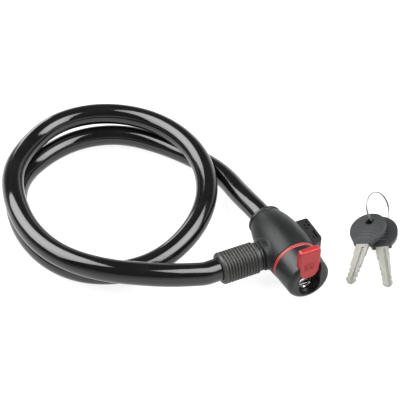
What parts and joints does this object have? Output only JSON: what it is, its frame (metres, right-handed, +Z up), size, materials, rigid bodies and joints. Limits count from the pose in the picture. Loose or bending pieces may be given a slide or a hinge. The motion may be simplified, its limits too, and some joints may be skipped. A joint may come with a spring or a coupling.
{
  "type": "cable lock",
  "caption": "Key-operated coil cable lock: round lock head with side port, ribbed plug connector, raised dust cover over the keyway, carrier lug, and a pair of keys on a split ring.",
  "frame": {"origin": "centre of the bounding box in X and Y, on the floor at the lowest point in Z, with the set laid flat as pictured: coil at left and rear, lock head front right, keys right of the head", "axes": "+Z up from the floor; barrel axis along Y with the keyway facing -Y; connector is drawn out of the head's side port towards -X"},
  "size_m": [0.2472, 0.2332, 0.0421],
  "materials": {
    "shell_plastic": "fine matte moulded, dark grey",
    "nose_plastic": "semi-gloss moulded, near black",
    "lug_plastic": "matte moulded, black",
    "band_plastic": "satin moulded, red",
    "cover_plastic": "satin moulded, red",
    "grip_rubber": "matte moulded, very dark olive grey",
    "seal_rubber": "matte, black",
    "sheath_pvc": "glossy extruded, black",
    "rope_steel": "stranded, galvanised",
    "core_zinc": "die-cast zinc, as cast",
    "hardened_steel": "turned, bright zinc plated",
    "cylinder_chrome": "bright chrome plated",
    "wafer_brass": "stamped",
    "spring_steel": "drawn wire",
    "key_head_plastic": "satin moulded, dark grey",
    "key_nickel": "stamped nickel silver, satin",
    "ring_steel": "nickel plated wire"
  },
  "bodies": {
    "lock_head": {"body_shell": "shell_plastic", "rear_collar": "nose_plastic", "band_ring": "band_plastic", "nose_cap": "nose_plastic", "lock_core": "core_zinc", "port_bushing": "hardened_steel", "cable_ferrule": "hardened_steel", "ferrule_pin": "hardened_steel", "plug_retaining_pin": "hardened_steel", "mounting_lug": "lug_plastic", "cable_sheath_lead": "sheath_pvc", "cable_rope_lead": "rope_steel"},
    "connector_cable": {"connector_pin": "hardened_steel", "port_seal": "seal_rubber", "neck_ring": "nose_plastic", "grip_sleeve": "grip_rubber", "cable_sheath_coil": "sheath_pvc", "cable_rope_coil": "rope_steel"},
    "dust_cover": {"dust_cover": "cover_plastic"},
    "key_cylinder": {"cylinder_plug": "cylinder_chrome"},
    "tumblers": {"tumbler_wafers": "wafer_brass"},
    "locking_bolt": {"locking_bolt": "hardened_steel", "bolt_spring": "spring_steel"},
    "key_ring": {"key_ring": "ring_steel"},
    "key_1": {"key_1_head": "key_head_plastic", "key_1_blade": "key_nickel"},
    "key_2": {"key_2_head": "key_head_plastic", "key_2_blade": "key_nickel"}
  },
  "joints": [
    {"name": "plug_pull", "type": "slide", "parent": "lock_head", "child": "connector_cable", "axis": [-1, 0, 0], "range_m": [0, 0.03]},
    {"name": "cover_slide", "type": "slide", "parent": "lock_head", "child": "dust_cover", "axis": [0, 0, 1], "range_m": [-0.0105, 0]},
    {"name": "cylinder_turn", "type": "hinge", "parent": "lock_head", "child": "key_cylinder", "pos_m": [0.03301, -0.0896, 0.0107], "axis": [0, 1, 0], "range_deg": [-90, 0]},
    {"name": "bolt_drop", "type": "slide", "parent": "lock_head", "child": "locking_bolt", "axis": [0, 0, 1], "range_m": [-0.0027, 0], "deforming": ["bolt_spring"]},
    {"name": "wafer_slide", "type": "slide", "parent": "key_cylinder", "child": "tumblers", "axis": [1, 0, 0], "range_m": [0, 0.0008]},
    {"name": "key_set_lift", "type": "slide", "parent": "lock_head", "child": "key_ring", "axis": [0, 0, 1], "range_m": [0, 0.06]},
    {"name": "key_1_swing", "type": "hinge", "parent": "key_ring", "child": "key_1", "pos_m": [0.10221, -0.06412, 0.00715], "axis": [-0.3131, 0.1999, 0.9284], "range_deg": [-20, 0]},
    {"name": "key_2_swing", "type": "hinge", "parent": "key_ring", "child": "key_2", "pos_m": [0.1083, -0.06582, 0.00354], "axis": [-0.149, 0.0491, 0.9876], "range_deg": [0, 20]}
  ],
  "couplings": [
    {"joint": "bolt_drop", "follows": "cylinder_turn", "m_per_rad": 0.0016566}
  ]
}
